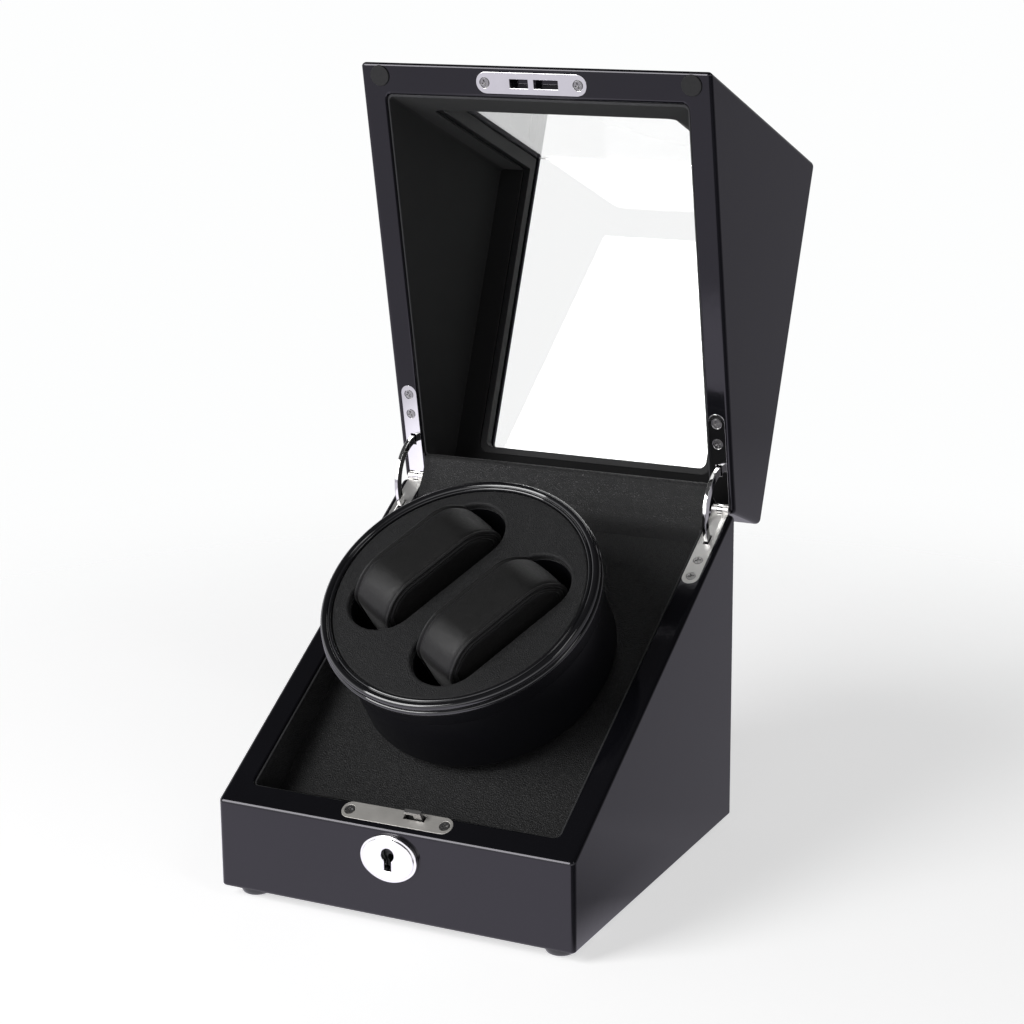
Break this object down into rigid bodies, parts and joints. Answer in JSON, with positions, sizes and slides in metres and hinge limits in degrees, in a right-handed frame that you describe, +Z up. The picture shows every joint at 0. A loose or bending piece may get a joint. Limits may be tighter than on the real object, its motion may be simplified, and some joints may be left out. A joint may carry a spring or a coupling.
{
  "type": "watch winder box",
  "caption": "Black lacquered watch winder box: glazed sloping lid on quadrant hinges, tilted motor-driven drum with watch cushions, front box lock, rear power inlet.",
  "frame": {"origin": "centre of the bottom of the bounding box with the lid open, on the plane of the feet; the wooden base spans y -0.1415 to 0.0425 m", "axes": "+X to the right seen from the front, +Y to the back, +Z up"},
  "size_m": [0.18, 0.289, 0.3704],
  "materials": {
    "black_lacquer": "high-gloss piano lacquer on fibreboard",
    "fibreboard": "bare fibreboard, matt",
    "black_hardboard": "painted matt",
    "leatherette": "fine grain, satin",
    "cushion_leatherette": "fine grain over foam, satin",
    "flock": "matt flock lining",
    "nickel": "bright nickel plate",
    "steel": "plain steel",
    "sheet_steel": "zinc-plated sheet",
    "gloss_black_plastic": "polished",
    "black_plastic": "fine satin",
    "white_plastic": "moulded acetal",
    "rubber": "matt",
    "glass": "clear float glass, green edge",
    "bronze": "sintered bronze",
    "circuit_green": "solder mask",
    "wire_red": "insulated lead"
  },
  "bodies": {
    "base": {"base_carcass": "black_lacquer", "bottom_cover": "black_hardboard", "bottom_screws": "steel", "feet": "rubber", "deck_board": "fibreboard", "deck_liner": "leatherette", "deck_cleats": "fibreboard", "base_lining": "leatherette", "hinge_flap_base": "leatherette", "lock_case": "sheet_steel", "lock_plate": "nickel", "escutcheon": "nickel", "hinge_leaf_base_left": "nickel", "hinge_leaf_base_right": "nickel", "base_plate_screws": "nickel", "hinge_pins": "steel", "drive_bracket": "sheet_steel", "bracket_standoffs": "white_plastic", "bracket_screws": "steel", "upper_bushing": "bronze", "lower_bushing": "bronze", "motor_can": "sheet_steel", "motor_gearbox": "sheet_steel", "motor_screws": "steel", "circuit_board": "circuit_green", "board_standoffs": "white_plastic", "board_parts": "black_plastic", "wiring": "wire_red", "dc_inlet": "black_plastic", "control_plate": "black_plastic", "control_screws": "steel", "switch_housing": "gloss_black_plastic", "selector_body": "black_plastic"},
    "lid": {"lid_shell": "black_lacquer", "glass_front": "glass", "glass_top": "glass", "window_retainer": "black_plastic", "lid_lining": "flock", "hinge_flap_lid": "leatherette", "strike_plate": "nickel", "bumpers": "rubber", "hinge_leaf_lid_left": "nickel", "hinge_leaf_lid_right": "nickel", "lid_plate_screws": "nickel"},
    "drum": {"drum_cup": "black_plastic", "drum_ring": "gloss_black_plastic", "drum_face": "leatherette", "cushion_wells": "black_plastic", "drum_shaft": "steel", "drum_gear": "white_plastic"},
    "stay_arm_left": {"stay_arm_left": "nickel"},
    "stay_arm_right": {"stay_arm_right": "nickel"},
    "motor_pinion": {"motor_pinion": "white_plastic"},
    "cushion_a": {"cushion_a": "cushion_leatherette"},
    "cushion_b": {"cushion_b": "cushion_leatherette"},
    "hook_bolt": {"hook_bolt": "nickel"},
    "lock_tumbler": {"lock_tumbler": "steel"},
    "power_rocker": {"power_rocker": "gloss_black_plastic"},
    "mode_knob": {"mode_knob": "black_plastic"}
  },
  "joints": [
    {"name": "lid_hinge", "type": "hinge", "parent": "base", "child": "lid", "pos_m": [0, 0.04123, 0.16011], "axis": [1, 0, 0], "range_deg": [0, 111.7]},
    {"name": "stay_arm_left_hinge", "type": "hinge", "parent": "base", "child": "stay_arm_left", "pos_m": [-0.083, 0.04123, 0.16011], "axis": [1, 0, 0], "range_deg": [0, 55.85]},
    {"name": "stay_arm_right_hinge", "type": "hinge", "parent": "base", "child": "stay_arm_right", "pos_m": [0.083, 0.04123, 0.16011], "axis": [1, 0, 0], "range_deg": [0, 55.85]},
    {"name": "drum_spin", "type": "hinge", "parent": "base", "child": "drum", "pos_m": [0, -0.07209, 0.1379], "axis": [0, -0.5878, 0.809], "continuous": true},
    {"name": "pinion_spin", "type": "hinge", "parent": "base", "child": "motor_pinion", "pos_m": [0, -0.05801, 0.06408], "axis": [0, -0.5878, 0.809], "continuous": true},
    {"name": "cushion_a_lift", "type": "slide", "parent": "drum", "child": "cushion_a", "axis": [0, -0.5878, 0.809], "range_m": [0, 0.026]},
    {"name": "cushion_b_lift", "type": "slide", "parent": "drum", "child": "cushion_b", "axis": [0, -0.5878, 0.809], "range_m": [0, 0.026]},
    {"name": "key_turn", "type": "hinge", "parent": "base", "child": "lock_tumbler", "pos_m": [0, -0.13849, 0.0345], "axis": [0, -1, 0], "range_deg": [0, 90]},
    {"name": "hook_throw", "type": "slide", "parent": "base", "child": "hook_bolt", "axis": [-1, 0, 0], "range_m": [0, 0.00424]},
    {"name": "power_rock", "type": "hinge", "parent": "base", "child": "power_rocker", "pos_m": [0, 0.04071, 0.034], "axis": [1, 0, 0], "range_deg": [0, 14]},
    {"name": "mode_turn", "type": "hinge", "parent": "base", "child": "mode_knob", "pos_m": [0.017, 0.04351, 0.034], "axis": [0, 1, 0], "range_deg": [-120, 120]}
  ],
  "couplings": [
    {"joint": "stay_arm_left_hinge", "follows": "lid_hinge", "ratio": 0.5},
    {"joint": "stay_arm_right_hinge", "follows": "lid_hinge", "ratio": 0.5},
    {"joint": "pinion_spin", "follows": "drum_spin", "ratio": -3},
    {"joint": "key_turn", "follows": "hook_throw", "rad_per_m": 370.43}
  ]
}
